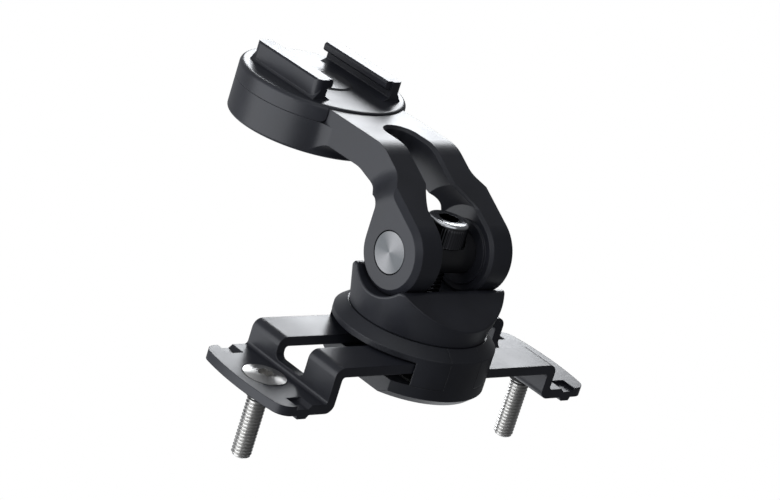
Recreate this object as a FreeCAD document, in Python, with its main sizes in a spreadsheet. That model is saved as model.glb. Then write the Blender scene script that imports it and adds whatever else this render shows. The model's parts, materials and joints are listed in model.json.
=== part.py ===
import FreeCAD, Part
import math
import os
import re
import Sketcher

# Phone mount that bolts to a brake- or clutch-fluid reservoir lid in place of its two lid screws.
# +Z is the swivel axis, pointing up. X runs from the left bracket to the right bracket.
# The origin is the swivel axis at the level of the brackets' underside, which rests on the lid.
# The arm leans towards +Y. All lengths are in millimetres and all angles in degrees.

Vector = FreeCAD.Vector
doc = FreeCAD.newDocument("PhoneMount")
sheet = doc.addObject("Spreadsheet::Sheet", "Sizes")

DRIVING_SIZES = {
    # brackets
    "screw_spacing": 70.0,
    "sheet_thick": 1.95,
    "level_gap": 0.05,
    "wing_width": 25.1,
    "window_width": 8.5,
    "window_sill": 3.2,
    "window_corner": 1.2,
    "low_tine_top": 7.45,
    "riser_outer": 29.6,
    "tine_reach": 5.0,
    "plate_reach": 41.5,
    "plate_arc": 55.0,
    "plate_corner": 3.0,
    "bend_outer": 1.9,
    "bend_inner": 0.7,
    "step_start": 33.2,
    "step_end": 36.9,
    "step_ramp": 0.8,
    "step_depth": 3.5,
    "step_drop": 0.75,
    # reservoir screws
    "thread_dia": 4.0,
    "screw_length": 17.0,
    "screw_head_dia": 8.6,
    "screw_dome": 0.65,
    "screw_waist_dia": 3.4,
    "retainer_top": -0.95,
    "retainer_dia": 5.0,
    "retainer_thick": 1.45,
    # round base
    "base_radius": 16.35,
    "base_flat": 12.8,
    "base_bottom": 1.5,
    "base_chamfer": 1.35,
    "cup_rim": 5.1,
    "cap_edge": 9.85,
    "cap_break": 11.0,
    "cap_top": 13.0,
    "cap_top_radius": 14.0,
    "slot_half_width": 12.8,
    "tongue_half_width": 3.9,
    "pad_thick": 0.9,
    "pad_proud": 0.35,
    "pad_width": 6.6,
    "pad_length": 18.0,
    "nut_flange": 10.0,
    "nut_flange_thick": 2.0,
    "nut_sleeve_dia": 7.4,
    "nut_top": 9.6,
    # swivel
    "washer_dia": 18.6,
    "washer_thick": 0.9,
    "collar_bottom": 13.1,
    "collar_radius": 13.75,
    "collar_top_radius": 16.15,
    "collar_height": 12.0,
    "saddle_radius": 8.28,
    "facet_angle": 35.0,
    # pin and clamp screw
    "pin_height": 26.9,
    "pin_dia": 8.5,
    "pin_length": 25.9,
    "clamp_seat": 29.0,
    "clamp_dia": 5.0,
    "clamp_length": 25.0,
    "clamp_head_dia": 8.5,
    "clamp_head_high": 5.0,
    "clamp_head_ease": 0.75,
    "hex_across": 4.0,
    # fork arm
    "ridge_round": 1.3,
    "fork_width": 26.0,
    "fork_gap": 12.6,
    "boss_gap": 11.6,
    "boss_radius": 6.4,
    "ear_radius": 8.2,
    "ear_chamfer": 1.1,
    "ear_tangent": 118.6,
    "neck_width": 19.6,
    "neck_top": 43.4,
    "neck_bottom": 36.7,
    "side_blend": 4.5,
    "under_blend": 2.6,
    "shoulder_y": 13.1,
    "elbow_y": 17.6,
    "throat_z": 33.9,
    "fade_start": 11.0,
    "fade_end": 15.0,
    "slot_width": 6.6,
    "slot_end": 22.1,
    "gap_radius": 9.0,
    "gap_fade": 12.8,
    "mouth_bevel": 0.6,
    # head
    "head_y": 44.0,
    "head_radius": 17.25,
    "head_bottom": 33.4,
    "head_seam": 40.35,
    "head_top": 43.85,
    "skirt_thick": 1.8,
    "cup_wall": 3.2,
    "head_screw_dia": 5.0,
    "plug_dia": 11.8,
    "rail_outer": 11.35,
    "rail_inner": 7.05,
    "rail_high": 4.1,
    "rail_y": 43.75,
    "rail_length": 20.7,
    "lip_high": 1.75,
    "lip_set_back": 0.5,
    "groove_deep": 1.5,
    "dowel_dia": 2.0,
}

for row, (alias, value) in enumerate(DRIVING_SIZES.items(), start=1):
    sheet.set("A%d" % row, alias)
    sheet.set("B%d" % row, str(value))
    sheet.setAlias("B%d" % row, alias)
doc.recompute()


def sizes(expression):
    """Turns 'pin_dia / 2' into 'Sizes.pin_dia / 2', the form the document's expressions use."""
    def qualify(word):
        return "Sizes." + word[0] if word[0] in DRIVING_SIZES else word[0]
    return re.sub(r"[a-z_]+", qualify, expression)


def value_of(expression):
    """The number that an expression of sheet sizes stands for now."""
    result = sheet.evalExpression(sizes(expression))
    return float(getattr(result, "Value", result))


def bind(thing, **expressions):
    """Binds properties to the sheet. A double underscore stands for a dot in a property path."""
    for path, expression in expressions.items():
        thing.setExpression(path.replace("__", "."), sizes(expression))
    return thing


# ---------------------------------------------------------------- Part primitives and booleans

def cylinder(name, radius, height, bottom="0", x="0", y="0"):
    solid = doc.addObject("Part::Cylinder", name)
    return bind(solid, Radius=radius, Height=height, Placement__Base__x=x,
                Placement__Base__y=y, Placement__Base__z=bottom)


def cross_cylinder(name, radius, half_length, height):
    """A cylinder along X, centred on the swivel axis."""
    solid = doc.addObject("Part::Cylinder", name)
    solid.Placement.Rotation = FreeCAD.Rotation(Vector(0, 1, 0), 90)
    return bind(solid, Radius=radius, Height="2 * ( %s )" % half_length,
                Placement__Base__x="-1 * ( %s )" % half_length, Placement__Base__z=height)


def cone(name, bottom_radius, top_radius, height, bottom, x="0", y="0"):
    solid = doc.addObject("Part::Cone", name)
    return bind(solid, Radius1=bottom_radius, Radius2=top_radius, Height=height,
                Placement__Base__x=x, Placement__Base__y=y, Placement__Base__z=bottom)


def box(name, x_low, x_high, y_low, y_high, z_low, z_high):
    solid = doc.addObject("Part::Box", name)
    return bind(solid, Length="( %s ) - ( %s )" % (x_high, x_low), Width="( %s ) - ( %s )" % (y_high, y_low),
                Height="( %s ) - ( %s )" % (z_high, z_low), Placement__Base__x=x_low,
                Placement__Base__y=y_low, Placement__Base__z=z_low)


def hexagon(name, across_flats, height, bottom, x="0", y="0"):
    solid = doc.addObject("Part::Prism", name)
    solid.Polygon = 6
    return bind(solid, Circumradius="( %s ) / 1.7320508" % across_flats, Height=height,
                Placement__Base__x=x, Placement__Base__y=y, Placement__Base__z=bottom)


def fuse(name, *pieces):
    joined = doc.addObject("Part::MultiFuse", name)
    joined.Shapes = list(pieces)
    joined.Refine = True
    return joined


def cut(name, base, tool):
    result = doc.addObject("Part::Cut", name)
    result.Base = base
    result.Tool = tool
    return result


def soften(kind, name, base, size_of):
    """A Part::Fillet or Part::Chamfer on the edges of base for which size_of(edge) gives a size."""
    doc.recompute()
    sized = [(number, size_of(edge)) for number, edge in enumerate(base.Shape.Edges, start=1)]
    edges = [(number, size, size) for number, size in sized if size]
    if not edges:
        raise RuntimeError(name + " found no edges")
    softened = doc.addObject("Part::" + kind, name)
    softened.Base = base
    softened.Edges = edges
    return softened


def is_ring(edge):
    """True for a full circle."""
    return isinstance(edge.Curve, Part.Circle) and edge.isClosed()


def has_radius(edge, expression):
    """True for a circular edge whose radius is the given sheet expression."""
    return isinstance(edge.Curve, Part.Circle) and abs(edge.Curve.Radius - value_of(expression)) < 0.01


# ---------------------------------------------------------------- PartDesign bodies

def new_body(name):
    body = doc.addObject("PartDesign::Body", name)
    body.Label = name
    return body


def new_sketch(body, plane_role, name, shift_x="0", shift_y="0", lift="0"):
    """A sketch on one of the body's own planes, shifted in the plane and lifted along its normal."""
    sketch = body.newObject("Sketcher::SketchObject", name)
    plane = [feature for feature in body.Origin.OriginFeatures if feature.Role == plane_role][0]
    sketch.AttachmentSupport = [(plane, "")]
    sketch.MapMode = "FlatFace"
    bind(sketch, AttachmentOffset__Base__x=shift_x, AttachmentOffset__Base__y=shift_y,
         AttachmentOffset__Base__z=lift)
    return sketch


def place_point(sketch, geometry, point, across, up):
    """Holds one point of a sketch at two sheet expressions from the sketch's origin."""
    for kind, expression in (("DistanceX", across), ("DistanceY", up)):
        distance = value_of(expression)
        index = sketch.addConstraint(Sketcher.Constraint(kind, -1, 1, geometry, point, distance))
        sketch.setExpression("Constraints[%d]" % index, sizes(expression))


def polygon(sketch, corners):
    """A closed outline through corners given as pairs of sheet expressions."""
    points = [Vector(value_of(across), value_of(up), 0) for across, up in corners]
    lines = []
    for start, end in zip(points, points[1:] + points[:1]):
        lines.append(sketch.addGeometry(Part.LineSegment(start, end)))
    for line, following in zip(lines, lines[1:] + lines[:1]):
        sketch.addConstraint(Sketcher.Constraint("Coincident", line, 2, following, 1))
    for line, (across, up) in zip(lines, corners):
        place_point(sketch, line, 1, across, up)
    return lines


def circle(sketch, radius, across="0", up="0"):
    centre = Vector(value_of(across), value_of(up), 0)
    ring = sketch.addGeometry(Part.Circle(centre, Vector(0, 0, 1), value_of(radius)))
    index = sketch.addConstraint(Sketcher.Constraint("Radius", ring, value_of(radius)))
    sketch.setExpression("Constraints[%d]" % index, sizes(radius))
    place_point(sketch, ring, 3, across, up)
    return ring


def add_feature(body, kind, name, sketch, **expressions):
    feature = body.newObject("PartDesign::" + kind, name)
    feature.Profile = sketch
    bind(feature, **expressions)
    return feature


def pad(body, name, sketch, length, symmetric=False, reverse=False):
    feature = add_feature(body, "Pad", name, sketch, Length=length)
    feature.Midplane = symmetric
    feature.Reversed = reverse
    return feature


def pocket(body, name, sketch, length, symmetric=False, reverse=False):
    """Cuts a pocket and makes sure that it took material away."""
    doc.recompute()
    before = body.Shape.Volume
    feature = add_feature(body, "Pocket", name, sketch, Length=length)
    feature.Midplane = symmetric
    feature.Reversed = reverse
    doc.recompute()
    if body.Shape.Volume >= before - 1e-3:
        raise RuntimeError(name + " cuts nothing")
    return feature


def turn(body, kind, name, sketch, axis="V_Axis"):
    """A full turn of a sketch about one of its own axes."""
    doc.recompute()
    before = body.Shape.Volume if body.Tip else 0.0
    feature = add_feature(body, kind, name, sketch)
    feature.ReferenceAxis = (sketch, [axis])
    feature.Angle = 360
    doc.recompute()
    if kind == "Groove" and body.Shape.Volume >= before - 1e-3:
        raise RuntimeError(name + " cuts nothing")
    return feature


def ease_edges(body, kind, name, chosen, size):
    """Fillets or chamfers the edges of the body's tip for which chosen(edge) is true."""
    doc.recompute()
    tip = body.Tip
    names = ["Edge%d" % number for number, edge in enumerate(tip.Shape.Edges, start=1) if chosen(edge)]
    if not names:
        raise RuntimeError(name + " found no edges")
    feature = body.newObject("PartDesign::" + kind, name)
    feature.Base = (tip, names)
    bind(feature, **{"Radius" if kind == "Fillet" else "Size": size})
    doc.recompute()
    return feature


def runs_along(edge, axis):
    """True for a straight edge that is parallel to the axis."""
    if not isinstance(edge.Curve, Part.Line):
        return False
    return abs(edge.tangentAt(edge.FirstParameter).dot(axis)) > 0.9999


def edge_at(axis, places, tolerance=0.05):
    """Chooses straight edges along an axis that pass through one of the places."""
    def chosen(edge):
        if not runs_along(edge, axis):
            return False
        middle = edge.CenterOfMass
        for place in places:
            offset = middle - place
            along = axis * offset.dot(axis)
            if (offset - along).Length < tolerance:
                return True
        return False
    return chosen


X_AXIS = Vector(1, 0, 0)
Y_AXIS = Vector(0, 1, 0)
Z_AXIS = Vector(0, 0, 1)


# ---------------------------------------------------------------- sliding brackets

def sheet_profile(tine_top):
    """Side outline of the bent sheet at -X: end plate, riser and one tine whose top is at tine_top."""
    inner = "sheet_thick - riser_outer"
    return [
        ("-1 * plate_reach", "0"),
        (inner, "0"),
        (inner, tine_top + " - sheet_thick"),
        ("tine_reach", tine_top + " - sheet_thick"),
        ("tine_reach", tine_top),
        ("-1 * riser_outer", tine_top),
        ("-1 * riser_outer", "sheet_thick"),
        ("-1 * plate_reach", "sheet_thick"),
    ]


def sill_profile():
    """Side outline of the sheet under the window: end plate and a short riser."""
    inner = "sheet_thick - riser_outer"
    return [
        ("-1 * plate_reach", "0"),
        (inner, "0"),
        (inner, "window_sill"),
        ("-1 * riser_outer", "window_sill"),
        ("-1 * riser_outer", "sheet_thick"),
        ("-1 * plate_reach", "sheet_thick"),
    ]


HIGH_TINE_TOP = "low_tine_top + sheet_thick + level_gap"
EDGE = "wing_width / 2"
WINDOW = "window_width / 2"
RIM = "sheet_thick"
SCREW_X = "screw_spacing / -2"


def bend_corners(body):
    """Rounds the sheet's bends, sharp on the inside and wide on the outside."""
    outer = -value_of("riser_outer")
    inner = value_of("sheet_thick - riser_outer")
    low = value_of("low_tine_top")
    high = value_of(HIGH_TINE_TOP)
    thick = value_of("sheet_thick")
    wide = [Vector(outer, 0, low), Vector(outer, 0, high), Vector(inner, 0, 0)]
    tight = [Vector(inner, 0, low - thick), Vector(inner, 0, high - thick), Vector(outer, 0, thick)]
    ease_edges(body, "Fillet", body.Name + "_wide_bends", edge_at(Y_AXIS, wide), "bend_outer")
    ease_edges(body, "Fillet", body.Name + "_tight_bends", edge_at(Y_AXIS, tight), "bend_inner")


def round_window(body):
    """Rounds the two lower corners of the window, where the sill meets the tines."""
    corners = [Vector(0, side * value_of(WINDOW), value_of("window_sill")) for side in (1, -1)]
    ease_edges(body, "Fillet", body.Name + "_window_corners", edge_at(X_AXIS, corners), "window_corner")


def plate_outline(body):
    """Trims the end plate to its large outer arc and rounds its corners."""
    sketch = new_sketch(body, "XY_Plane", body.Name + "_arc_sketch", lift="-1 * sheet_thick")
    reach = value_of("plate_reach")
    radius = value_of("plate_arc")
    half = value_of(EDGE) + 1.0
    centre = Vector(radius - reach, 0, 0)
    angle = math.asin(half / radius)
    arc = sketch.addGeometry(Part.ArcOfCircle(Part.Circle(centre, Z_AXIS, radius),
                                              math.pi - angle, math.pi + angle))
    top = Vector(centre.x - radius * math.cos(angle), half, 0)
    low = Vector(top.x, -half, 0)
    outside = -reach - 4.0
    sketch.addGeometry(Part.LineSegment(low, Vector(outside, -half, 0)))
    sketch.addGeometry(Part.LineSegment(Vector(outside, -half, 0), Vector(outside, half, 0)))
    sketch.addGeometry(Part.LineSegment(Vector(outside, half, 0), top))
    sketch.addConstraint(Sketcher.Constraint("Coincident", arc, 2, arc + 1, 1))
    sketch.addConstraint(Sketcher.Constraint("Coincident", arc + 1, 2, arc + 2, 1))
    sketch.addConstraint(Sketcher.Constraint("Coincident", arc + 2, 2, arc + 3, 1))
    sketch.addConstraint(Sketcher.Constraint("Coincident", arc + 3, 2, arc, 1))
    rounding = sketch.addConstraint(Sketcher.Constraint("Radius", arc, radius))
    sketch.setExpression("Constraints[%d]" % rounding, sizes("plate_arc"))
    place_point(sketch, arc, 3, "plate_arc - plate_reach", "0")
    pocket(body, body.Name + "_arc", sketch, "4 * sheet_thick", reverse=True)

    def outer_corner(edge):
        middle = edge.CenterOfMass
        return runs_along(edge, Z_AXIS) and middle.x < value_of(SCREW_X) and abs(middle.z) < 2.0
    ease_edges(body, "Fillet", body.Name + "_corners", outer_corner, "plate_corner")


def edge_steps(body):
    """Pushes a small step of the plate down at both long edges: a pocket above and a pad below."""
    for side, tag in (("1", "_far"), ("-1", "_near")):
        edge = side + " * " + EDGE
        below = new_sketch(body, "XZ_Plane", body.Name + tag + "_bump_sketch", lift="-1 * " + edge)
        polygon(below, [
            ("-1 * step_end + step_ramp / 2", "0.3"),
            ("-1 * step_end + step_ramp", "-1 * step_drop"),
            ("-1 * step_start - step_ramp", "-1 * step_drop"),
            ("-1 * step_start", "0.3"),
        ])
        pad(body, body.Name + tag + "_bump", below, "step_depth", reverse=side == "-1")
        above = new_sketch(body, "XZ_Plane", body.Name + tag + "_pocket_sketch", lift="-1 * " + edge)
        polygon(above, [
            ("-1 * step_end", RIM + " - step_drop"),
            ("-1 * step_start - step_ramp", RIM + " - step_drop"),
            ("-1 * step_start + step_ramp / 2", RIM + " + step_ramp / 2"),
            ("-1 * step_end", RIM + " + step_ramp / 2"),
        ])
        pocket(body, body.Name + tag + "_pocket", above, "step_depth", reverse=side == "1")


def countersink(body):
    """The dimpled, countersunk hole of the reservoir screw."""
    dimple = new_sketch(body, "XZ_Plane", body.Name + "_dimple_sketch", shift_x=SCREW_X)
    polygon(dimple, [("0", "-0.9"), ("3.2", "-0.9"), ("4.4", "0.3"), ("0", "0.3")])
    turn(body, "Revolution", body.Name + "_dimple", dimple)
    hole = new_sketch(body, "XZ_Plane", body.Name + "_hole_sketch", shift_x=SCREW_X)
    head = "screw_head_dia / 2 + 0.12"
    bore = "thread_dia / 2 + 0.15"
    polygon(hole, [("0", "-2"), (bore, "-2"), (bore, RIM + " - screw_head_dia / 2 + thread_dia / 2"),
                   (head, RIM), (head, RIM + " + 1"), ("0", RIM + " + 1")])
    turn(body, "Groove", body.Name + "_hole", hole)


def build_bracket(name, turned):
    """One bracket. Its near tine is the high one; the other bracket is the same part turned half round."""
    body = new_body(name)
    near = new_sketch(body, "XZ_Plane", name + "_near_sketch", lift=WINDOW)
    polygon(near, sheet_profile(HIGH_TINE_TOP))
    pad(body, name + "_near_tine", near, EDGE + " - " + WINDOW)
    far = new_sketch(body, "XZ_Plane", name + "_far_sketch", lift="-1 * " + EDGE)
    polygon(far, sheet_profile("low_tine_top"))
    pad(body, name + "_far_tine", far, EDGE + " - " + WINDOW)
    sill = new_sketch(body, "XZ_Plane", name + "_sill_sketch")
    polygon(sill, sill_profile())
    pad(body, name + "_sill", sill, "window_width", symmetric=True)
    round_window(body)
    bend_corners(body)
    plate_outline(body)
    edge_steps(body)
    countersink(body)
    if turned:
        body.Placement = FreeCAD.Placement(Vector(0, 0, 0), FreeCAD.Rotation(Z_AXIS, 180))
    return body


def build_reservoir_screw(name, side):
    """Raised countersunk M4 screw with a waist for its retaining ring, drawn with a plain shank."""
    x = side + " * screw_spacing / 2"
    shank = "( thread_dia / 2 - 0.02 )"
    flare = "( screw_head_dia / 2 - " + shank + " )"
    seat = RIM + " - " + flare
    end = RIM + " - screw_length"
    waist_top = "retainer_top + 0.03"
    waist_bottom = "( retainer_top - retainer_thick - 0.1 )"
    thread = cylinder(name + "_thread", shank, waist_bottom + " - ( " + end + " + 0.6 )", end + " + 0.6", x)
    tip = cone(name + "_tip", shank + " - 0.5", shank, "0.6", end, x)
    waist_height = waist_top + " - " + waist_bottom
    waist = cylinder(name + "_waist", "screw_waist_dia / 2", waist_height, waist_bottom, x)
    collar = cylinder(name + "_collar", shank, seat + " - ( " + waist_top + " )", waist_top, x)
    head = cone(name + "_head", shank, "screw_head_dia / 2", flare, seat, x)
    dome = cone(name + "_dome", "screw_head_dia / 2", "screw_head_dia / 2 - 1.9", "screw_dome", RIM, x)
    blank = fuse(name + "_blank", thread, tip, waist, collar, head, dome)
    recess = hexagon(name + "_recess", "2.9", "2.6", RIM + " + screw_dome - 1.6", x)
    return cut(name, blank, recess)


def build_retainer(name, side):
    """Rubber ring under the plate that keeps the screw from dropping out."""
    x = side + " * screw_spacing / 2"
    bottom = "retainer_top - retainer_thick"
    ring = cylinder(name + "_ring", "retainer_dia / 2", "retainer_thick", bottom, x)
    bore = cylinder(name + "_bore", "screw_waist_dia / 2 + 0.03", "retainer_thick + 1", bottom + " - 0.5", x)
    return cut(name, ring, bore)


# ---------------------------------------------------------------- round base

def base_outline():
    """Half section of the base's outer shape, from the bottom up to the collar's seam."""
    return [
        ("0", "base_bottom"),
        ("base_radius - base_chamfer", "base_bottom"),
        ("base_radius", "base_bottom + base_chamfer"),
        ("base_radius", "cap_break"),
        ("cap_top_radius", "cap_top"),
        ("0", "cap_top"),
    ]


def end_box(name, side, y_half, z_low, z_high, gap="0"):
    """A box that covers everything beyond the flat end of the base on one side."""
    if side == "1":
        return box(name, "base_flat + " + gap, "30", "-1 * ( " + y_half + " )", y_half, z_low, z_high)
    return box(name, "-30", "-1 * base_flat - " + gap, "-1 * ( " + y_half + " )", y_half, z_low, z_high)


def build_base_cup():
    """Lower half of the base: a shallow cup cut flat at both ends, with two upright tongues."""
    body = new_body("base_cup_blank")
    sketch = new_sketch(body, "XZ_Plane", "base_cup_section")
    polygon(sketch, base_outline())
    turn(body, "Revolution", "base_cup_turned", sketch)

    upper = box("cup_upper", "-20", "20", "-20", "20", "cup_rim", "20")
    tongue_far = box("cup_tongue_far", "-1 * tongue_half_width", "tongue_half_width",
                     "slot_half_width", "20", "cup_rim - 1", "20")
    tongue_near = box("cup_tongue_near", "-1 * tongue_half_width", "tongue_half_width",
                      "-20", "-1 * slot_half_width", "cup_rim - 1", "20")
    removed = cut("cup_removed", upper, fuse("cup_tongues", tongue_far, tongue_near))
    pad_seats = pad_boxes("cup_pad_seat", "cup_rim + pad_proud - pad_thick - 0.01", "cup_rim + 1", "0.05")
    bore = cylinder("cup_bore", "nut_sleeve_dia / 2 + 0.1", "10", "0")
    seat = hexagon("cup_nut_seat", "nut_flange + 0.1", "nut_flange_thick + 0.25 + 1", "base_bottom - 1")
    flats = [end_box("cup_flat_right", "1", "20", "0", "20"),
             end_box("cup_flat_left", "-1", "20", "0", "20")]
    tools = fuse("cup_tools", removed, bore, seat, *pad_seats, *flats)
    return cut("base_cup", body, tools)


def build_base_cap():
    """Upper half of the base: conical ring on four legs, notched for the cup's tongues."""
    body = new_body("base_cap_blank")
    sketch = new_sketch(body, "XZ_Plane", "base_cap_section")
    polygon(sketch, base_outline())
    turn(body, "Revolution", "base_cap_turned", sketch)

    lower = box("cap_lower", "-20", "20", "-20", "20", "0", "cup_rim + 0.06")
    opening = box("cap_opening", "-20", "20", "-1 * slot_half_width", "slot_half_width", "0", "cap_edge")
    notch = box("cap_notch", "-1 * tongue_half_width - 0.07", "tongue_half_width + 0.07",
                "slot_half_width - 0.07", "20", "0", "20")
    notch_near = box("cap_notch_near", "-1 * tongue_half_width - 0.07", "tongue_half_width + 0.07",
                     "-20", "0.07 - slot_half_width", "0", "20")
    recess = cylinder("cap_recess", "washer_dia / 2 + 0.06", "3", "cap_top - 1.3")
    bore = cylinder("cap_bore", "clamp_dia / 2 + 0.2", "20", "0")
    pad_seats = pad_boxes("cap_pad_seat", "cap_edge - 1", "cap_edge - pad_proud + pad_thick + 0.01", "0.05")
    tools = fuse("cap_tools", lower, opening, notch, notch_near, recess, bore, *pad_seats)
    return cut("base_cap", body, tools)


def pad_boxes(name, bottom, top, gap):
    """Two strips along X, one under each pair of tines, grown sideways by a gap."""
    strips = []
    for side, tag in (("1", "_far"), ("-1", "_near")):
        middle = side + " * ( slot_half_width / 2 + window_width / 4 )"
        half_width = " ( pad_width / 2 + " + gap + " )"
        half_length = "( pad_length / 2 + " + gap + " )"
        strips.append(box(name + tag, "-1 * " + half_length, half_length,
                          middle + " -" + half_width, middle + " +" + half_width, bottom, top))
    return strips


def build_grip_pads(name, bottom):
    """Two thin friction strips, one on each side of the clamp nut, that grip the tines."""
    return fuse(name, *pad_boxes(name, bottom, bottom + " + pad_thick", "0"))


def build_clamp_nut():
    """Sleeve nut: a hexagon flange under the cup and a threaded sleeve between the tines."""
    flange = hexagon("clamp_nut_flange", "nut_flange", "nut_flange_thick", "base_bottom + 0.2")
    sleeve = cylinder("clamp_nut_sleeve", "nut_sleeve_dia / 2",
                      "nut_top - base_bottom - 0.2", "base_bottom + 0.2")
    bore = cylinder("clamp_nut_bore", "clamp_dia / 2 + 0.02", "20", "0")
    return cut("clamp_nut", fuse("clamp_nut_blank", flange, sleeve), bore)


# ---------------------------------------------------------------- swivel

def build_swivel_washer():
    ring = cylinder("swivel_washer_ring", "washer_dia / 2", "washer_thick", "cap_top - 1.28")
    bore = cylinder("swivel_washer_bore", "clamp_dia / 2 + 0.25", "3", "cap_top - 2")
    return cut("swivel_washer", ring, bore)


def facet_tool(name, side):
    """Wedge above a plane that falls outwards from the pin's axis towards +Y or -Y."""
    wedge = box(name, "-25", "25", "0", "30", "0", "30")
    turn_angle = -value_of("facet_angle") if side > 0 else 90 + value_of("facet_angle")
    wedge.Placement.Rotation = FreeCAD.Rotation(X_AXIS, turn_angle)
    expression = "0 - facet_angle" if side > 0 else "90 + facet_angle"
    bind(wedge, Placement__Base__z="pin_height", Placement__Rotation__Angle=expression)
    return wedge


def build_swivel_collar():
    """Flared bowl with a saddle for the ears, cut by one sloping facet in front and one behind."""
    body = new_body("swivel_collar_blank")
    sketch = new_sketch(body, "XZ_Plane", "swivel_collar_section")
    top = "collar_bottom + collar_height"
    polygon(sketch, [
        ("0", "collar_bottom"),
        ("collar_radius", "collar_bottom"),
        ("collar_top_radius", top),
        ("0", top),
    ])
    turn(body, "Revolution", "swivel_collar_turned", sketch)
    spigot = cylinder("collar_spigot", "washer_dia / 2", "1", "cap_top - 0.35")
    blank = fuse("collar_with_spigot", body, spigot)
    saddle = cross_cylinder("collar_saddle", "saddle_radius", "25", "pin_height")
    bore = cylinder("collar_bore", "clamp_dia / 2 + 0.25", "20", "5")
    facets = [facet_tool("collar_facet_far", 1), facet_tool("collar_facet_near", -1)]
    raw = cut("collar_raw", blank, fuse("collar_tools", saddle, bore, *facets))
    height = value_of("pin_height")
    radius = value_of("saddle_radius")

    def ridge_size(edge):
        middle = edge.CenterOfMass
        on_saddle = abs(math.hypot(middle.y, middle.z - height) - radius) < 0.05
        return value_of("ridge_round") if on_saddle and runs_along(edge, X_AXIS) else 0
    ridged = soften("Fillet", "collar_ridged", raw, ridge_size)

    def rim_size(edge):
        bounds = edge.BoundBox
        outside = min(abs(bounds.XMin), abs(bounds.XMax)) > 6 and bounds.XLength + bounds.YLength > 4
        above = bounds.ZMin > value_of("collar_bottom") + 0.5
        return 0.35 if outside and above and not runs_along(edge, X_AXIS) else 0
    return soften("Fillet", "swivel_collar", ridged, rim_size)


def build_cross_pin():
    """Pin through both ears, with a flat for the clamp screw's head and a hole for its shank."""
    rod = cross_cylinder("cross_pin_rod", "pin_dia / 2", "pin_length / 2", "pin_height")
    seat = cylinder("cross_pin_seat", "clamp_head_dia / 2 + 0.25", "10", "clamp_seat")
    bore = cylinder("cross_pin_bore", "clamp_dia / 2 + 0.2", "30", "10")
    eased = soften("Chamfer", "cross_pin_eased", rod, lambda edge: 0.2 if is_ring(edge) else 0)
    return cut("cross_pin", eased, fuse("cross_pin_tools", seat, bore))


def build_clamp_screw():
    """M5 socket-head cap screw, drawn with a plain shank."""
    shank = cylinder("clamp_screw_shank", "clamp_dia / 2 - 0.02",
                     "clamp_length", "clamp_seat - clamp_length")
    head = cylinder("clamp_screw_head", "clamp_head_dia / 2", "clamp_head_high", "clamp_seat + 0.02")
    neck = cylinder("clamp_screw_neck", "clamp_dia / 2 - 0.02", "1", "clamp_seat - 0.5")
    rim_ease = value_of("clamp_head_ease")
    eased = soften("Fillet", "clamp_screw_eased", head,
                   lambda edge: rim_ease if edge.CenterOfMass.z > value_of("clamp_seat + 1") else 0)
    socket = hexagon("clamp_screw_socket", "hex_across", "4", "clamp_seat + clamp_head_high - 2.5")
    return cut("clamp_screw", fuse("clamp_screw_blank", shank, neck, eased), socket)


# ---------------------------------------------------------------- fork arm

def arm_corners():
    """Corners of the arm's side outline after the round ear, from the ear's top to its back."""
    return [
        ("ear_radius * cos(ear_tangent)", "pin_height + ear_radius * sin(ear_tangent)"),
        ("shoulder_y", "neck_top"),
        ("head_y", "neck_top"),
        ("head_y", "neck_bottom"),
        ("elbow_y", "neck_bottom"),
        ("ear_radius", "throat_z"),
        ("ear_radius", "pin_height"),
        ("0", "pin_height"),
    ]


def pad_arm_blank(body):
    """The ear disc and the gooseneck, both as wide as the fork."""
    ear = new_sketch(body, "YZ_Plane", "arm_ear_sketch")
    circle(ear, "ear_radius", "0", "pin_height")
    pad(body, "arm_ear", ear, "fork_width", symmetric=True)
    neck = new_sketch(body, "YZ_Plane", "arm_neck_sketch")
    polygon(neck, arm_corners())
    pad(body, "arm_neck", neck, "fork_width", symmetric=True)
    corners = [Vector(0, value_of(across), value_of(up)) for across, up in arm_corners()]
    ease_edges(body, "Fillet", "arm_shoulder", edge_at(X_AXIS, [corners[1]]), "9")
    ease_edges(body, "Fillet", "arm_elbow", edge_at(X_AXIS, [corners[4]]), "6")
    ease_edges(body, "Fillet", "arm_throat", edge_at(X_AXIS, [corners[5]], 0.2), "1.8")


def chamfer_sides(body):
    """Bevels the outline of the ears' outer faces."""
    half = value_of("fork_width / 2")

    def on_outer_face(edge):
        bounds = edge.BoundBox
        return min(abs(bounds.XMin), abs(bounds.XMax)) > half - 0.01 and bounds.XLength < 1e-4
    ease_edges(body, "Chamfer", "arm_ear_chamfer", on_outer_face, "ear_chamfer")


def narrow_neck(body):
    """Turns both sides down, around the pin's axis, from the fork's width to the neck's width."""
    for side, tag in (("1", "right"), ("-1", "left")):
        sketch = new_sketch(body, "XZ_Plane", "arm_side_sketch_" + tag, shift_y="pin_height")
        polygon(sketch, [
            (side + " * ( fork_width / 2 )", "fade_start"),
            (side + " * ( neck_width / 2 )", "fade_end"),
            (side + " * ( neck_width / 2 )", "90"),
            (side + " * ( fork_width / 2 + 1 )", "90"),
            (side + " * ( fork_width / 2 + 1 )", "fade_start"),
        ])
        turn(body, "Groove", "arm_side_" + tag, sketch, "H_Axis")

    def is_crease(edge):
        if edge.BoundBox.XLength > 1e-3:
            return False
        side = abs(edge.BoundBox.XMin)
        on_ear = abs(side - value_of("fork_width / 2")) < 0.01 and has_radius(edge, "fade_start")
        return on_ear or (abs(side - value_of("neck_width / 2")) < 0.01 and has_radius(edge, "fade_end"))
    ease_edges(body, "Fillet", "arm_side_creases", is_crease, "3.8")


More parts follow.
